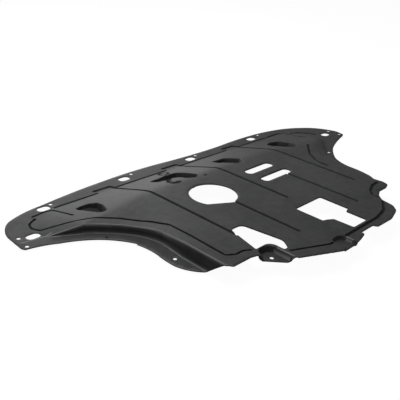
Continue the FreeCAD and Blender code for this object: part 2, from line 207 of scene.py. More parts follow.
# Edge of the sheet: arcs along the front and sides, and rounded corners along the rear.
outlinePlan = {
    "front": [
        (-571, 205), (-560, 238), (-535, 265), (-494, 280), (-442, 288), (-351, 300), (-257, 307),
        (-154, 310), (-54, 305), (50, 297), (177, 296), (260, 299), (340, 296), (395, 288), (441, 277),
        (492, 255), (535, 226), (562, 192), (578, 155),
    ],
    "leftFront": [(-569, 144), (-540, 138), (-503, 123), (-465, 106), (-432, 84), (-403, 53), (-383, 21)],
    "leftRear": [(-386, 18), (-381, -9), (-381, -40), (-384, -66), (-384, -91), (-374, -120), (-356, -144)],
    "rear": [
        (-356, -144, 0), (-353, -146, 1), (-344.5, -188, 2), (-336, -201, 3), (-285, -201, 10),
        (-269, -205, 8), (-227, -249, 8), (-217, -250, 4), (-213, -263, 5), (-118, -307, 8), (-106, -303, 6),
        (-71, -303, 6), (-64, -307, 5), (-46, -304, 12), (-23, -298, 4), (-21, -289, 2), (27, -289, 2),
        (33, -299, 4), (92, -300, 40), (138, -287, 30), (156, -268, 24), (163, -236, 16), (178, -219, 20),
        (204, -206, 10), (236, -206, 20), (258, -199, 14), (264, -182, 12), (260, -156, 16), (281, -129, 0),
        (327, -129, 4), (338, -113, 0),
    ],
    "right": [
        (338, -113), (347, -85), (352, -45), (361, 0), (374, 24), (409, 56), (453, 83), (510, 105),
        (560, 119),
    ],
    "rightTip": [(560, 119, 0), (573, 125, 8), (578, 155, 0)],
    "leftTip": [(-571, 205, 0), (-574, 152, 10), (-569, 144, 0)],
    "wallEnd": 4,  # the first points of the rear, where the left wall ends
    "step": 2.6,
    "inset": 0.01,  # kept from the sides of the part's box
}


def outlineLoop(p):
    # runs anticlockwise seen from above: left tip, left side, rear, right side, right tip, front backwards
    stretches = [
        rounded(p["leftTip"], p["step"], False), arcsThrough(p["leftFront"], p["step"]),
        arcsThrough(p["leftRear"], p["step"]), rounded(p["rear"], p["step"], False),
        arcsThrough(p["right"], p["step"]), rounded(p["rightTip"], p["step"], False),
        arcsThrough(p["front"][::-1], p["step"]),
    ]
    loop = stretches[0]
    for stretch in stretches[1:]:
        skip = 1 if np.linalg.norm(stretch[0] - loop[-1]) < 0.01 else 0
        loop = np.concatenate([loop, stretch[skip:]])
    low, high = (np.array(corner[:2]) * 1000 - plan["shift"][:2] for corner in (cadLow, cadHigh))
    return np.clip(loop[:-1], low + p["inset"], high - p["inset"])


# Patches of the raised tray. Each is ruled from a low line to a high line, and a line is
# (start, middle or nothing, end) in plan with the share of the tray's rise at its two ends.
trayPlan = {
    "walls": [
        (((-356, -340), None, (-352, -80), 0, 0), ((-345, -340), None, (-345, -80), 1, 1)),
        (((-352, -80), (-348, -47), (-346, -14), 0, 0), ((-345, -80), (-343, -46), (-341, -9), 1, 0.76)),
        (((-346, -14), (-352, 18), (-369, 51), 0, 0), ((-341, -9), (-348, 21), (-365, 55), 0.76, 0.60)),
        (((-369, 51), (-403, 90), (-440, 119), 0, 0), ((-365, 55), (-400, 94), (-441, 126), 0.60, 0.64)),
        (((-440, 119), None, (-509, 157), 0, 0), ((-441, 126), None, (-508, 159), 0.64, 0.03)),
    ],
    "ramp": [
        (((-509, 157), (-499, 214), (-445, 258), 0, 0), ((-508, 159), None, (-441, 126), 0.03, 0.64)),
        (((-445, 258), None, (-250, 258), 0, 0), ((-441, 126), None, (-250, 146), 0.64, 1)),
        (((-250, 258), None, (200, 258), 0, 0), ((-250, 146), None, (200, 132), 1, 1)),
        (((200, 258), None, (400, 252), 0, 0), ((200, 132), None, (354, 106), 1, 1)),
        (((400, 252), (462, 212), (474, 135), 0, 0), ((354, 106), (366, 101), (375, 95), 1, 1)),
    ],
    "right": [
        (((474, 135), (443, 112), (416, 90), 0, 0), ((375, 95), (345, 72), (320, 50), 1, 1)),
        (((416, 90), (378, 55), (361, 25), 0, 0), ((320, 50), (298, 22), (288, -12), 1, 1)),
        (((361, 25), None, (318, -60), 0, 0), ((288, -12), None, (284, -60), 1, 1)),
        (((318, -60), None, (300, -340), 0, 0), ((284, -60), None, (279, -340), 1, 1)),
    ],
    # the floor's left shoulder, from the wall's sinking top edge to the flat floor
    "shoulder": [
        (((-345, -80), (-343, -46), (-341, -9), 1, 0.76), ((-337, -80), None, (-320, -10), 1, 1)),
        (((-341, -9), (-348, 21), (-365, 55), 0.76, 0.60), ((-320, -10), None, (-295, 60), 1, 1)),
        (((-365, 55), (-400, 94), (-441, 126), 0.60, 0.64), ((-295, 60), None, (-250, 146), 1, 1)),
    ],
    "perPatch": 24,
}
rampStart, rightStart, shoulderStart = np.cumsum([len(trayPlan[k]) for k in ("walls", "ramp", "right")])


def patchLine(item):
    start, middle, end, low, high = item
    path = arcThrough(start, middle, end, trayPlan["perPatch"])
    return np.column_stack([path, np.linspace(low, high, len(path))])


def trayPatches():
    rows = [*trayPlan["walls"], *trayPlan["ramp"], *trayPlan["right"], *trayPlan["shoulder"]]
    return [(patchLine(low), patchLine(high)) for low, high in rows]


def stepIn(patches):
    # the same patches stepped inwards, so that the gauge stays square to each slope
    out = []
    for low, high in patches:
        across = (high - low)[:, :2]
        run = np.linalg.norm(across, axis=1)
        rise = (high - low)[:, 2] * plan["rise"]
        inset = plan["gauge"] * np.tan(np.arctan2(rise, np.maximum(run, 0.5)) / 2)
        side = across / np.maximum(run, 1e-6)[:, None]
        move = np.column_stack([side * inset[:, None], np.zeros(len(run))])
        out.append((low + move, high + move))
    return out


def footLoop(patches):
    # round the foot of the tray, where its slopes leave the strip
    return np.concatenate([low[:-1, :2] for low, _ in patches[:shoulderStart]])


def floorLoop(patches):
    # round the flat floor: the first wall, the shoulder, the ramp from its third patch on and the right slope
    lines = [high[:-1, :2] for _, high in [*patches[shoulderStart:], *patches[rampStart + 2:shoulderStart]]]
    # the first and the last line keep their own ends, because the lines after them start elsewhere
    return np.concatenate([patches[0][1][:, :2], *lines, patches[shoulderStart - 1][1][-1:, :2]])


def shareAt(patches, points):
    # 0 on the strip, 1 on the flat floor and the patches' height between them
    tall = 100.0  # the patches' height for the rays
    verts = []
    quads = []
    for low, high in patches:
        n = len(low)
        base = len(verts)
        verts += [(x, y, tall * z) for x, y, z in np.concatenate([low, high])]
        quads += [(base + i, base + i + 1, base + n + i + 1, base + n + i) for i in range(n - 1)]
    tree = BVHTree.FromPolygons(verts, quads)
    share = inside(points, floorLoop(patches)).astype(float)
    between = np.flatnonzero(inside(points, footLoop(patches)) & (share < 0.5))
    down = Vector((0, 0, -1))
    for i in between:
        hit = tree.ray_cast(Vector((points[i, 0], points[i, 1], 2 * tall)), down)
        share[i] = hit[0].z / tall if hit[0] is not None else 0.0
    return share


def blur(field, sigma, step):
    # a field on the plan's grid, softened over a width of sigma
    radius = int(math.ceil(3 * sigma / step))
    kernel = np.exp(-0.5 * (np.arange(-radius, radius + 1) * step / sigma) ** 2)
    kernel /= kernel.sum()
    out = np.pad(field, radius, mode="edge")
    out = np.apply_along_axis(lambda r: np.convolve(r, kernel, "valid"), 0, out)
    return np.apply_along_axis(lambda r: np.convolve(r, kernel, "valid"), 1, out)


def smooth(low, high, value):
    # 0 below low, 1 above high and an even curve between them
    t = np.clip((value - low) / (high - low), 0, 1)
    return t * t * (3 - 2 * t)


# How wide the tray's folds are, and where one width gives way to another
foldPlan = {
    "step": 1.5,
    "low": (-584, -316),
    "high": (588, 318),
    "firm": 4.0,
    "crown": 13.0,  # where the ramp meets the floor
    "crownShare": (0.35, 0.75),
    "crownAway": (24, 60),  # from the left wall
    "wall": 0.6,
    "wallAway": (22, 36),
}
xs, ys = (np.arange(foldPlan["low"][k], foldPlan["high"][k], foldPlan["step"]) for k in (0, 1))
patches = trayPatches()
wallPatches = patches[:rampStart]
wallLines = [line[:, :2] for pair in wallPatches for line in pair]
leftTree = pointTree(np.concatenate(wallLines))


def softened(patches):
    # folds away from the left wall: firm ones, and a wide one where the ramp meets the floor
    gx, gy = np.meshgrid(xs, ys, indexing="ij")
    grid = np.stack([gx.ravel(), gy.ravel()], 1)
    share = shareAt(patches, grid).reshape(gx.shape)
    far = nearest(leftTree, grid).reshape(gx.shape)
    firm = blur(share, foldPlan["firm"], foldPlan["step"])
    wide = blur(share, foldPlan["crown"], foldPlan["step"])
    crownWeight = smooth(*foldPlan["crownShare"], wide) * smooth(*foldPlan["crownAway"], far)
    return firm * (1 - crownWeight) + wide * crownWeight


def sample(field, points):
    # the field's value at each point, between the four nearest of its grid
    u = (points[:, 0] - xs[0]) / foldPlan["step"]
    v = (points[:, 1] - ys[0]) / foldPlan["step"]
    i = np.clip(u.astype(int), 0, len(xs) - 2)
    j = np.clip(v.astype(int), 0, len(ys) - 2)
    fu, fv = u - i, v - j
    return field[i, j] * (1 - fu) * (1 - fv) + field[i + 1, j] * fu * (1 - fv) \
        + field[i, j + 1] * (1 - fu) * fv + field[i + 1, j + 1] * fu * fv


def trayShare(patches, field, points):
    # beside the left wall the height is measured at each point, with folds as wide as the moulding's
    share = sample(field, points)
    far = nearest(leftTree, points)
    near = np.flatnonzero(far < foldPlan["wallAway"][1])
    found = np.zeros(len(near))
    around = [(0, 0), (1, 0), (-1, 0), (0, 1), (0, -1), (0.7, 0.7), (-0.7, 0.7), (0.7, -0.7), (-0.7, -0.7)]
    for dx, dy in around:
        found += shareAt(patches, points[near] + np.array((dx, dy)) * foldPlan["wall"]) / len(around)
    weight = smooth(*foldPlan["wallAway"], far[near])
    share[near] = found * (1 - weight) + share[near] * weight
    return share


print("surface: measuring the raised tray")
topField = softened(patches)
underField = softened(stepIn(patches))


def crownY(x):
    # where the ramp meets the floor, on the third or the fourth of its patches
    middle, right = (rows[1] for rows in trayPlan["ramp"][2:4])
    start, _, end, _, _ = right if x > right[0][0] else middle
    return start[1] + (end[1] - start[1]) * (x - start[0]) / (end[0] - start[0])


def longBead(x, rearY, footX, tailX):
    # from the rear along the floor, down the ramp and a little way along its foot
    f = plan["rampFoot"]
    return [(x, rearY, 0), (x, crownY(x), 40), (footX, f, 40), (footX - 1, f + 14, 9), (tailX, f + 15, 0)]


beadPlan = {
    "paths": [
        longBead(-240, -123, -250, -301),
        longBead(-9, -81, -25, -76),
        longBead(213, -128, 206, 160),
        [(-124, -10, 0), (-124, -198, 0)],
        [(107, 10, 0), (107, -199, 0)],
        [(-424, 187, 0), (-433, 252, 9), (-456, 256, 20), (-484, 252, 0)],
        [
            (-485, 241, 0), (-508, 228, 9), (-515, 210, 12), (-505, 189, 14), (-459, 167, 40),
            (-417, 142, 40), (-368, 95, 60), (-331, 40, 60), (-317, -5, 60), (-316, -69, 60),
            (-319, -164, 9), (-300, -175, 9), (-278, -175, 9), (-264, -184, 0),
        ],
        [(-205, -236, 0), (-119, -274, 9), (-110, -274, 0)],
        [(-60, -276, 0), (70, -276, 60), (118, -266, 60), (156, -242, 0)],
        [(246, -175, 0), (222, -176, 30), (190, -189, 30), (168, -208, 14), (168, -221, 0)],
        [(324, 92, 0), (270, 48, 80), (240, 4, 40), (237, -31, 0)],
        [(345, 254, 0), (402, 256, 20), (416, 232, 20), (403, 190, 30), (406, 158, 0)],
        [(430, 228, 0), (462, 223, 20), (486, 199, 20), (494, 178, 0)],
        [(-128, 192, 0), (-145, 179, 9), (-163, 158, 9), (-163, 141, 8), (-146, 141, 0)],
    ],
    "half": 4.2,  # to each side of the line
    "otherHalves": {5: 2.8, 6: 2.8, 7: 2.8, 13: 6.2},  # by place in the list
    "depth": 4.0,
    "ridge": 6.7,
    "step": 3.4,
    "rows": (0.0, 1.8, 2.8, 3.6, 4.2, 5.2, 7.0, 9.2),  # of the mesh, away from the line
    "endPoints": 14,
}
beadLines = [rounded(path, beadPlan["step"], False) for path in beadPlan["paths"]]
beadHalves = [beadPlan["otherHalves"].get(i, beadPlan["half"]) for i in range(len(beadLines))]

# Fine marks, too shallow to show on the other side: lines at the ramp's foot, a ring and two dimples.
markPlan = {
    "lines": [
        [(-422, 259, 0), (-303, 259, 0)],
        [(-246, 259, 0), (-78, 259, 0)],
        [(-21, 259, 0), (158, 258, 0)],
        [(210, 257, 0), (335, 254, 0)],
    ],
    "ring": (-105, 238, 12.0),
    "ringPoints": 40,
    "dimples": [(-68, 128, 4.0), (-416, 80, 3.0)],
    "dimpleRows": (0.3, 0.7, 0.92, 1.05, 1.5),
    "dimplePoints": 16,
    "half": 3.6,
    "depth": 2.6,
    "step": 2.6,
    "rows": (0.0, 1.6, 2.7, 3.7, 4.8),
}


def circleLoop(x, y, radius, count):
    angles = np.linspace(0, 2 * math.pi, count, endpoint=False)
    return np.stack([x + radius * np.cos(angles), y + radius * np.sin(angles)], 1)


def closed(loop):
    return np.concatenate([loop, loop[:1]])


markLines = [rounded(path, markPlan["step"], False) for path in markPlan["lines"]]
markLines.append(closed(circleLoop(*markPlan["ring"], markPlan["ringPoints"])))

# Recesses: the outline of the bottom, its height above the strip's underside and its corner radius.
recessPlan = {
    "items": [
        ([(-398, 210), (-378, 150), (-369, 148), (-353, 180), (-350, 200), (-362, 213), (-381, 215)],
         3.0, 4.0),
        ([(-175, 209), (-169, 191), (-146, 187), (-133, 187), (-113, 172), (-109, 150), (-93, 140),
          (-85, 149), (-84, 193), (-89, 212), (-113, 217), (-137, 212)], 4.0, 3.0),
        ([(40, 199), (40, 175), (61, 136), (73, 138), (85, 153), (80, 195)], 4.0, 4.0),
        ([(262, 186), (259, 162), (265, 134), (281, 114), (292, 118), (304, 148), (307, 186), (291, 198)],
         4.0, 4.0),
        # the larger and the smaller bracket, 12 and 8 below the floor
        ([(-219, -340), (-220, -194), (-260, -194), (-260, -340)], floorZ - 12, 18.0),
        ([(-68, -340), (-68, -267), (-103, -267), (-103, -340)], floorZ - 8, 12.0),
    ],
    "pockets": 4,  # the first ones of the list
    "wallSlope": 4.0,
    "softness": 1.6,
    "underShare": 0.66,  # of the gauge, from the wall's road side to its underside
    "outlineStep": 2.0,
}


def recessLoop(corners, radius):
    return rounded([(x, y, radius) for x, y in corners], recessPlan["outlineStep"], True)


def signedDistance(points, loop):
    # below 0 inside the loop, and never further than the cap
    cap = 40
    away = np.minimum(lineDistance(points, closed(loop)), cap)
    return np.where(inside(points, loop), -away, away)


openingPlan = {
    # x, y, radius, distance of its flat from the middle and the way in which the flat lies
    "round": (-134, 39.5, 57.5, 49.0, 241.0),
    "roundPoints": 140,
    "service": [
        (-42, -130, 5), (57, -130, 5), (57, -208, 4), (41, -212, 3), (41, -266, 4), (-14, -266, 4),
        (-16, -216, 3), (-30, -208, 3), (-42, -204, 3),
    ],
    "drain": [
        (-232, -100, 14), (-197, -101, 14), (-180, -200, 22), (-197, -225, 12), (-209.5, -225, 4),
        (-209.5, -187, 27), (-254, -187.5, 2),
    ],
    "slots": [(75, 71.5, 100, 12.8), (77.5, 17.5, 107, 12.8)],  # x, y, length, half width
    "ovals": [(-529, 180), (-443, 272), (-196, 287), (33, 278), (295, 278), (522, 160)],
    "ovalSize": (32.0, 10.5),
    "boltRadius": 4.2,
    "boltPoints": 20,
    "boltHoles": [
        (-557, 190), (-561, 152), (-419, 280), (-163, 299), (62, 287), (338, 287), (557, 171), (562, 133),
        (398, 64), (-366, -74), (-240, -218),
    ],
    "step": 2.4,
}


def flatCircle(x, y, radius, reach, side):
    half = math.acos(reach / radius)
    angles = math.radians(side) + np.linspace(half, 2 * math.pi - half, openingPlan["roundPoints"])
    arc = np.stack([x + radius * np.cos(angles), y + radius * np.sin(angles)], 1)
    return np.concatenate([arc, straight(arc[-1], arc[0], openingPlan["step"])[1:-1]])


def slotLoop(x, y, length, halfWidth, step):
    half = length / 2
    # a little under the half width, so that the two corners of an end don't use up the side between them
    r = halfWidth * 0.9999
    corners = [(x - half, y - halfWidth, r), (x + half, y - halfWidth, r), (x + half, y + halfWidth, r),
               (x - half, y + halfWidth, r)]
    return rounded(corners, step, True)


def openingLoops(p):
    loops = [flatCircle(*p["round"])]
    loops.append(rounded(p["service"], p["step"], True))
    loops.append(rounded(p["drain"], p["step"], True))
    for x, y, length, half in p["slots"]:
        loops.append(slotLoop(x, y, length, half, p["step"]))
    for x, y in p["ovals"]:
        loops.append(slotLoop(x, y, *p["ovalSize"], p["step"]))
    for x, y in p["boltHoles"]:
        loops.append(circleLoop(x, y, p["boltRadius"], p["boltPoints"]))
    return loops


outer = outlineLoop(outlinePlan)
holes = openingLoops(openingPlan)
# the floor's openings come first: the round, the service and the drain opening and the slots
floorHoles = holes[:3 + len(openingPlan["slots"])]

# How close together the points of the mesh lie, in millimetres
meshPlan = {
    "edgeRing": 0.7,  # from each edge to the row of points beside it
    "spacing": 2.0,
    "highlightRows": (0.0, 0.5, 1.2, 3.0),
    "foldRows": (-6.0, -2.6, -1.0, -0.35, 0.35, 1.0, 2.6, 6.0),
    "slopeRows": (-0.15, -0.05, 0.05, 0.15, 0.3, 0.5, 0.7, 0.85, 0.95, 1.05, 1.15),
    # the cell that keeps one point, and the gap to the points laid before
    "beads": (0.45, 1.7),
    "marks": (0.4, 0.6),
    "walls": (0.3, 0.6),
    # the step of the grid, and the gap to the points laid before
    "recesses": (2.3, 1.3),
    "recessMargin": 16.0,
    "sheet": (7.0, 3.6),
    "sheetBox": ((-580.0, -314.0), (584.0, 316.0)),
}


def refine(line, spacing):
    # the same line with points every spacing
    along = np.concatenate([[0.0], np.cumsum(np.linalg.norm(np.diff(line, axis=0), axis=1))])
    places = np.linspace(0, along[-1], int(along[-1] / spacing) + 2)
    return np.column_stack([np.interp(places, along, line[:, k]) for k in range(2)])


# Short folds of the brackets and the crease from the left wall to the tip, with a painted
# highlight like the wall's own folds.
highlightPlan = [
    [(-219.5, -208), (-219, -247)],
    [(-216.5, -212), (-216, -255)],
    [(-67.5, -281), (-67.5, -294)],
    [(-65.5, -280), (-65.5, -296)],
    [(-497, 162), (-511, 163), (-530, 166), (-546, 168), (-562, 170)],
]
highlightLines = [refine(np.array(line, float), meshPlan["spacing"]) for line in highlightPlan]


def wallRows():
    # rows of points along the steep walls, closest together at the folds
    rows = [beadPoints(line, meshPlan["highlightRows"]) for line in highlightLines]
    for low, high in wallPatches:
        across = (high - low)[:, :2]
        width = np.maximum(np.linalg.norm(across, axis=1)[:, None], 0.1)
        for line in (low[:, :2], high[:, :2]):
            for away in meshPlan["foldRows"]:
                rows.append(refine(line + across / width * away, meshPlan["spacing"]))
    # the right slope behind its first patch, from its foot to the floor
    for low, high in patches[rightStart + 1:shoulderStart]:
        for share in meshPlan["slopeRows"]:
            rows.append((low + (high - low) * share)[:, :2])
    return np.concatenate(rows)


def evenGrid(low, high, step):
    # every other row stands half a step aside
    gx, gy = np.meshgrid(np.arange(low[0], high[0], step), np.arange(low[1], high[1], step), indexing="ij")
    gx = gx + 0.5 * step * (np.round((gy - low[1]) / step) % 2)
    return np.stack([gx.ravel(), gy.ravel()], 1)


def beadPoints(line, rows):
    # rows of points along both sides of a line and round its ends
    side = normals(line)
    out = []
    for d in rows:
        out.append(line + side * d)
        if d:
            out.append(line - side * d)
    for end in (line[0], line[-1]):
        for d in rows[1:-1]:
            out.append(circleLoop(*end, d, beadPlan["endPoints"]))
    return np.concatenate(out)


def keepApart(accepted, candidates, gap):
    # the candidates that lie further than gap from every accepted point
    return candidates[nearest(pointTree(accepted), candidates) > gap]


def withMore(accepted, candidates, gap):
    return np.concatenate([accepted, keepApart(accepted, candidates, gap)])


def thin(points, cell):
    # one point per small cell
    keys = np.round(points / cell).astype(int)
    _, first = np.unique(keys, axis=0, return_index=True)
    return points[np.sort(first)]


def clearOfHoles(points):
    # which points lie inside the edge and in none of the openings
    ok = inside(points, outer)
    for loop in holes:
        near = np.flatnonzero(((points > loop.min(0)) & (points < loop.max(0))).all(1))
        ok[near] &= ~inside(points[near], loop)
    return ok


def planPoints():
    border = np.concatenate([outer] + holes)
    ring = meshPlan["edgeRing"]
    # all loops run anticlockwise, so the sheet is on the left of its edge and on the right of its openings
    rings = [outer - normals(outer, True) * ring]
    rings += [loop + normals(loop, True) * ring for loop in holes]
    beads = np.concatenate([beadPoints(line, beadPlan["rows"]) for line in beadLines])
    cell, gap = meshPlan["beads"]
    points = np.concatenate([border, *rings, keepApart(border, thin(beads, cell), gap)])
    marks = [beadPoints(line, markPlan["rows"]) for line in markLines]
    for x, y, radius in markPlan["dimples"]:
        marks += [circleLoop(x, y, radius * k, markPlan["dimplePoints"]) for k in markPlan["dimpleRows"]]
    for kind, rows in (("marks", np.concatenate(marks)), ("walls", wallRows())):
        cell, gap = meshPlan[kind]
        points = withMore(points, thin(rows, cell), gap)
    margin = meshPlan["recessMargin"]
    step, gap = meshPlan["recesses"]
    for corners, _, _ in recessPlan["items"]:
        c = np.array(corners, float)
        grid = evenGrid(c.min(0) - margin, c.max(0) + margin, step)
        points = withMore(points, grid[inside(grid, outer)], gap)
    step, gap = meshPlan["sheet"]
    grid = evenGrid(*meshPlan["sheetBox"], step)
    points = withMore(points, grid[inside(grid, outer)], gap)
    rest = points[len(border):]
    return np.concatenate([border, rest[clearOfHoles(rest)]])


print("surface: laying out the plan points")
points = planPoints()
print("plan points", len(points))


def triangles(points):
    # the edge and the openings stay as lines of the mesh, and nothing is laid across an opening
    edges = []
    start = 0
    for loop in [outer] + holes:
        n = len(loop)
        edges += [(start + i, start + (i + 1) % n) for i in range(n)]
        start += n
    coords = [Vector((x, y)) for x, y in points]
    verts, _, faces, *_ = delaunay_2d_cdt(coords, edges, [], 0, 1e-4, True)
    pts = np.array([(v.x, v.y) for v in verts])
    tris = np.array([f for f in faces if len(f) == 3])
    tris = tris[clearOfHoles(pts[tris].mean(1))]
    a, b, c = pts[tris[:, 0]], pts[tris[:, 1]], pts[tris[:, 2]]
    area = (b[:, 0] - a[:, 0]) * (c[:, 1] - a[:, 1]) - (b[:, 1] - a[:, 1]) * (c[:, 0] - a[:, 0])
    tris[area < 0] = tris[area < 0][:, ::-1]
    used, index = np.unique(tris, return_inverse=True)
    return pts[used], index.reshape(-1, 3)


planVerts, planTris = triangles(points)
print("plan triangles", len(planTris))


def softMin(a, b, k):
    # the smaller of the two, with a rounding of about k where they meet
    share = np.clip(0.5 + 0.5 * (b - a) / k, 0, 1)
    return b * (1 - share) + a * share - k * share * (1 - share)


def heights(points):
    # the road side and the underside of the sheet at each point
    top = stripZ + plan["rise"] * trayShare(patches, topField, points)
    under = plan["rise"] * trayShare(stepIn(patches), underField, points)
    recessed = top.copy()
    for corners, bottom, radius in recessPlan["items"]:
        d = signedDistance(points, recessLoop(corners, radius))
        wall = bottom + recessPlan["wallSlope"] * np.maximum(d, 0)
        recessed = softMin(recessed, wall, recessPlan["softness"])
        behind = np.maximum(d - recessPlan["underShare"] * plan["gauge"], 0)
        wall = bottom - plan["gauge"] + recessPlan["wallSlope"] * behind
        under = np.minimum(under, wall)
    big, depth = beadPlan["ridge"], beadPlan["depth"]
    for line, r in zip(beadLines, beadHalves):
        d = lineDistance(points, line)
        groove = depth * np.sqrt(np.maximum(1 - (d / r) ** 3, 0))
        ridge = np.sqrt(np.maximum(big * big - d * d, 0))
        under = np.where(d < big, np.minimum(under, top - ridge), under)
        recessed = np.where(d < r, np.minimum(recessed, top - groove), recessed)
    for line in markLines:
        d = lineDistance(points, line)
        recessed -= markPlan["depth"] * np.sqrt(np.maximum(1 - (d / markPlan["half"]) ** 2, 0))
    for x, y, radius in markPlan["dimples"]:
        d = fromPoint(points, x, y)
        recessed -= markPlan["depth"] * np.sqrt(np.maximum(1 - (d / radius) ** 2, 0))
    return recessed, np.minimum(under, recessed - plan["thinnest"] * plan["gauge"])


def boundaryEdges(tris):
    # the edges that have a triangle on one side only
    edges = np.concatenate([tris[:, [0, 1]], tris[:, [1, 2]], tris[:, [2, 0]]])
    key = np.sort(edges, axis=1)
    _, first, counts = np.unique(key, axis=0, return_index=True, return_counts=True)
    return edges[first[counts == 1]]


# Painted highlights on the left wall's folds and painted shade on the wall, beads, marks and pocket floors:
# strengths, and the places between which each one fades
highlightAndShadePlan = {
    "foldWidth": 0.9,
    "wall": 0.5,
    "wallFade": (0.3, 1.0),  # from its two folds
    "beadFade": (0.5, 0.95),  # shares of the bead's half width
    "markFade": (0.6, 1.1),
    "dimpleFade": (0.7, 1.2),
    "pocket": 0.8,
    "pocketFade": (-2.0, 3.0),  # from the outline of its bottom
}


def foldHighlightMask(points):
    # painted highlights along the left wall's two folds and along the bracket folds and the crease listed
    # above
    mask = np.zeros(len(points))
    for line in wallLines + highlightLines:
        mask = np.maximum(mask, np.exp(-(lineDistance(points, line) / highlightAndShadePlan["foldWidth"]) ** 2))
    return mask


def paintedShadeMask(points):
    # painted shade on the steep wall, in the beads and the fine marks and on the floors of the pockets, as a
    # darker colour
    tones = []
    for low, high in wallPatches:
        on = inside(points, np.concatenate([low[:, :2], high[::-1, :2]]))
        edge = np.minimum(lineDistance(points, low[:, :2]), lineDistance(points, high[:, :2]))
        tones.append(highlightAndShadePlan["wall"] * on * smooth(*highlightAndShadePlan["wallFade"], edge))
    for line, r in zip(beadLines, beadHalves):
        tones.append(1 - smooth(*highlightAndShadePlan["beadFade"], lineDistance(points, line) / r))
    for line in markLines:
        tones.append(1 - smooth(*highlightAndShadePlan["markFade"], lineDistance(points, line) / markPlan["half"]))
    for x, y, radius in markPlan["dimples"]:
        tones.append(1 - smooth(*highlightAndShadePlan["dimpleFade"], fromPoint(points, x, y) / radius))
    for corners, _, radius in recessPlan["items"][:recessPlan["pockets"]]:
        away = signedDistance(points, recessLoop(corners, radius))
        tones.append(highlightAndShadePlan["pocket"] * (1 - smooth(*highlightAndShadePlan["pocketFade"], away)))
    return np.max(tones, axis=0)


# The edges: how far their corners are taken off, and how the sheet changes beside some of them
edgePlan = {
    "round": 0.45,
    "lip": 0.8,
    "lipFade": (0.8, 4.0),
    "thinning": 1.2,
    "thinFade": (1.0, 5.0),
    "wallReach": 10,
    "crease": 38,  # degrees from which a fold is drawn sharp
}


def buildSheet():
    top, under = heights(planVerts)
    rim = boundaryEdges(planTris)
    onRim = np.unique(rim)
    top[onRim] -= edgePlan["round"]
    under[onRim] += edgePlan["round"]
    # the floor's openings have a small lip that turns down, and the sheet thins out round the bolt holes
    for loop in floorHoles:
        lip = 1 - smooth(*edgePlan["lipFade"], lineDistance(planVerts, closed(loop)))
        under -= edgePlan["lip"] * lip
    for x, y in openingPlan["boltHoles"]:
        away = fromPoint(planVerts, x, y) - openingPlan["boltRadius"]
        under += edgePlan["thinning"] * (1 - smooth(*edgePlan["thinFade"], away))
    # where the wall ends, its edge is cut square to the wall
    away = lineDistance(planVerts, np.array(outlinePlan["rear"][:outlinePlan["wallEnd"]], float)[:, :2])
    under = np.where(away < edgePlan["wallReach"], np.maximum(under, top - plan["gauge"] - away), under)
    under = np.maximum(under, -beadPlan["depth"])
    shift = np.array(plan["shift"])
    n = len(planVerts)
    topVerts = np.column_stack([planVerts, top]) + shift
    underVerts = np.column_stack([planVerts, under]) + shift
    verts = np.clip(np.concatenate([topVerts, underVerts]) / 1000.0, np.array(cadLow), np.array(cadHigh))
    faces = [tuple(t) for t in planTris]
    faces += [tuple(t[::-1] + n) for t in planTris]
    faces += [(b, a, a + n, b + n) for a, b in rim]
    mesh = bpy.data.meshes.new("shieldSheet")
    mesh.from_pydata([tuple(v) for v in verts], [], faces)
    mesh.polygons.foreach_set("use_smooth", np.ones(len(mesh.polygons), bool))
    mesh.set_sharp_from_angle(angle=math.radians(edgePlan["crease"]))
    # the painted fold highlights and the painted shade, kept on the road side's points for the material
    for name, mask in (("paintedFoldHighlight", foldHighlightMask), ("paintedShade", paintedShadeMask)):
        data = mesh.attributes.new(name, "FLOAT", "POINT").data
        data.foreach_set("value", np.concatenate([mask(planVerts), np.zeros(n)]))
    mesh.validate()
    obj = bpy.data.objects.new("shieldSheet", mesh)
    scene.collection.objects.link(obj)
    print("sheet faces", len(mesh.polygons))
    return obj


shield = buildSheet()
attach(shield, "root")
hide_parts("splash_shield")


# One socket of a shader tree, with the usual operators as Math nodes.
class Sock:
    def __init__(self, tree, socket):
        self.tree = tree
        self.socket = socket

    def math(self, operation, *others, flip=False):
        node = self.tree.nodes.new("ShaderNodeMath")
        node.operation = operation
        values = [self, *others]
        if flip:
            values = values[::-1]
        for slot, value in zip(node.inputs, values):
            if isinstance(value, Sock):
                self.tree.links.new(value.socket, slot)
            else:
                slot.default_value = value
        return Sock(self.tree, node.outputs[0])

    def __add__(self, other):
        return self.math("ADD", other)

    def __radd__(self, other):
        return self.math("ADD", other)

    def __sub__(self, other):
        return self.math("SUBTRACT", other)

    def __rsub__(self, other):
        return self.math("SUBTRACT", other, flip=True)

    def __mul__(self, other):
        return self.math("MULTIPLY", other)

    def __rmul__(self, other):
        return self.math("MULTIPLY", other)

    def step(self, low, high):
        # 0 below low, 1 above high and a straight line between them
        return ((self - low) * (1.0 / (high - low))).math("MAXIMUM", 0.0).math("MINIMUM", 1.0)


# The nodes of one material or world.
class Shader:
    def __init__(self, owner):
        self.owner = owner
        owner.use_nodes = True
        self.tree = owner.node_tree
        self.tree.nodes.clear()

    def node(self, kind, settings=None, output=0, **values):
        made = self.tree.nodes.new("ShaderNode" + kind)
        for key, value in (settings or {}).items():
            setattr(made, key, value)
        for key, value in values.items():
            name = key.replace("_", " ")
            slot = made.inputs[int(name[2:])] if name.startswith("at") else made.inputs[name]
            if isinstance(value, Sock):
                self.tree.links.new(value.socket, slot)
            else:
                slot.default_value = value
        return Sock(self.tree, made.outputs[output])

    def mixColor(self, factor, first, second):
        return self.node("Mix", {"data_type": "RGBA"}, 2, at0=factor, at6=first, at7=second)

    def done(self, surface, kind="Material"):
        out = self.tree.nodes.new("ShaderNodeOutput" + kind)
        self.tree.links.new(surface.socket, out.inputs["Surface"])
        return self.owner


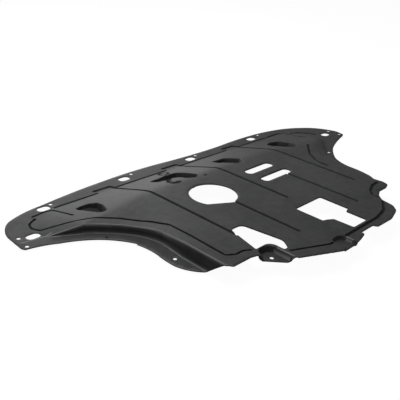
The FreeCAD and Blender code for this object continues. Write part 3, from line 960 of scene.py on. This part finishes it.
def plasticMaterial():
    look = {
        "dark": (0.023, 0.0235, 0.0245, 1),
        "light": (0.049, 0.0495, 0.052, 1),
        "toneEnds": (0.36, 0.64),  # the noise of the darkest and of the lightest places
        # the colour of the painted fold highlights, and how much of it is mixed in
        "foldHighlight": (0.34, 0.34, 0.345, 1),
        "highlightShare": 0.9,
        # the colour of the painted shade
        "shaded": (0.006, 0.006, 0.006, 1),
        "roughness": 0.43,
        "roughCloud": 0.08,
        "roughGrain": 0.06,
        "roughHollow": 0.45,
        "bump": 0.25,
        "bumpHeight": 0.0002,
        "grain": 900.0,
        "cloud": 9.0,
        "speckle": 60.0,
        "index": 1.5,
    }
    s = Shader(bpy.data.materials.new("shieldPlastic"))
    where = s.node("TexCoord", output=3)
    cloud = s.node("TexNoise", Vector=where, Scale=look["cloud"], Detail=4.0, Roughness=0.55)
    grain = s.node("TexNoise", Vector=where, Scale=look["grain"], Detail=2.0, Roughness=0.6)
    foldHighlight = s.node("Attribute", {"attribute_name": "paintedFoldHighlight"}, 2)
    speckle = s.node("TexNoise", Vector=where, Scale=look["speckle"], Detail=3.0, Roughness=0.6)
    tone = cloud * 0.5 + speckle * 0.5
    colour = s.mixColor(tone.step(*look["toneEnds"]), look["dark"], look["light"])
    # painted highlight along the folds
    colour = s.mixColor(foldHighlight * look["highlightShare"], colour, look["foldHighlight"])
    # painted shade on the wall, beads, marks and pocket floors, which also makes them rougher
    paintedShade = s.node("Attribute", {"attribute_name": "paintedShade"}, 2)
    colour = s.mixColor(paintedShade, colour, look["shaded"])
    rough = cloud * look["roughCloud"] + grain * look["roughGrain"]
    rough = rough + look["roughness"] + paintedShade * look["roughHollow"]
    bump = s.node("Bump", Strength=look["bump"], Distance=look["bumpHeight"], Height=grain)
    surface = s.node("BsdfPrincipled", Base_Color=colour, Roughness=rough, Normal=bump, IOR=look["index"])
    return s.done(surface)


print("material: black moulded plastic")
shield.data.materials.append(plasticMaterial())

white = (1, 1, 1, 1)

# The table and the room: pale, and white where the camera sees them
studioPlan = {
    "floorHalf": 12.0,
    "floorDrop": 0.0004,
    "floorTones": ((0.50, 0.50, 0.50, 1), (0.52, 0.52, 0.52, 1)),
    "floorCloud": 1.5,
    "floorGlow": 1.12,
    "floorShown": 0.86,  # the glow's share for the camera
    "roomLight": 0.16,
    "roomShown": 1.0,
}


def floorMaterial(p):
    s = Shader(bpy.data.materials.new("paleFloor"))
    where = s.node("TexCoord", output=3)
    cloud = s.node("TexNoise", Vector=where, Scale=p["floorCloud"], Detail=2.0)
    matte = s.node("BsdfDiffuse", Color=s.mixColor(cloud, *p["floorTones"]))
    glow = s.node("Emission", Color=white, Strength=p["floorGlow"])
    seen = s.node("LightPath")
    surface = s.node("MixShader", at0=seen * p["floorShown"], at1=matte, at2=glow)
    return s.done(surface)


def addFloor(p):
    size = p["floorHalf"]
    corners = [(-size, -size, 0), (size, -size, 0), (size, size, 0), (-size, size, 0)]
    mesh = bpy.data.meshes.new("studioFloor")
    mesh.from_pydata(corners, [], [(0, 1, 2, 3)])
    mesh.materials.append(floorMaterial(p))
    obj = bpy.data.objects.new("studioFloor", mesh)
    scene.collection.objects.link(obj)
    obj.location.z = -p["floorDrop"]


def addWorld(p):
    s = Shader(bpy.data.worlds.new("studio"))
    soft = s.node("Background", Color=white, Strength=p["roomLight"])
    shown = s.node("Background", Color=white, Strength=p["roomShown"])
    seen = s.node("LightPath")
    scene.world = s.done(s.node("MixShader", at0=seen, at1=soft, at2=shown), "World")


print("studio: floor, world, lights and camera")
addFloor(studioPlan)
addWorld(studioPlan)


def addLight(name, place, aim, size, power):
    # a rectangular lamp of the given width and height, in metres and watts
    data = bpy.data.lights.new(name, "AREA")
    data.shape = "RECTANGLE"
    data.size, data.size_y = size
    data.energy = power
    obj = bpy.data.objects.new(name, data)
    scene.collection.objects.link(obj)
    obj.location = place
    obj.rotation_euler = (Vector(aim) - Vector(place)).to_track_quat("-Z", "Y").to_euler()


addLight("rearSoftbox", (0.9, 2.45, 0.5), (-0.3, 0.2, 0.03), (1.9, 0.8), 10)
addLight("topSoftbox", (-0.2, 1.1, 2.6), (-0.1, 0, 0), (1.6, 1.6), 45)
addLight("farSoftbox", (1.9, 1.75, 1.4), (-0.05, 0, 0), (1.8, 1.0), 2)

# The camera as it was recovered: degrees and metres, and the focal length in pixels of the picture
cameraPlan = {
    "azimuth": 42.0853,
    "elevation": 25.9142,
    "roll": 4.1186,
    "distance": 1.42980,
    "target": (-0.1847, 0.0342, 0.0385),
    "focal": 628.08,
    "frame": 400.0,  # width of the picture in pixels
    "sensor": 36.0,
    "near": 0.05,
}


def addCamera(p):
    az, el, roll = (math.radians(p[k]) for k in ("azimuth", "elevation", "roll"))
    ahead = Vector((math.cos(az) * math.cos(el), math.sin(az) * math.cos(el), -math.sin(el)))
    side = Vector((math.sin(az), -math.cos(az), 0))
    upward = side.cross(ahead)
    right = side * math.cos(roll) + upward * math.sin(roll)
    up = upward * math.cos(roll) - side * math.sin(roll)
    data = bpy.data.cameras.new("camera")
    data.sensor_width = p["sensor"]
    data.lens = p["focal"] * p["sensor"] / p["frame"]
    data.clip_start = p["near"]
    obj = bpy.data.objects.new("camera", data)
    scene.collection.objects.link(obj)
    place = Vector(p["target"]) - ahead * p["distance"]
    axes = Matrix((right, up, -ahead)).transposed()
    obj.matrix_world = Matrix.Translation(place) @ axes.to_4x4()
    scene.camera = obj


addCamera(cameraPlan)
scene.view_settings.view_transform = "Standard"
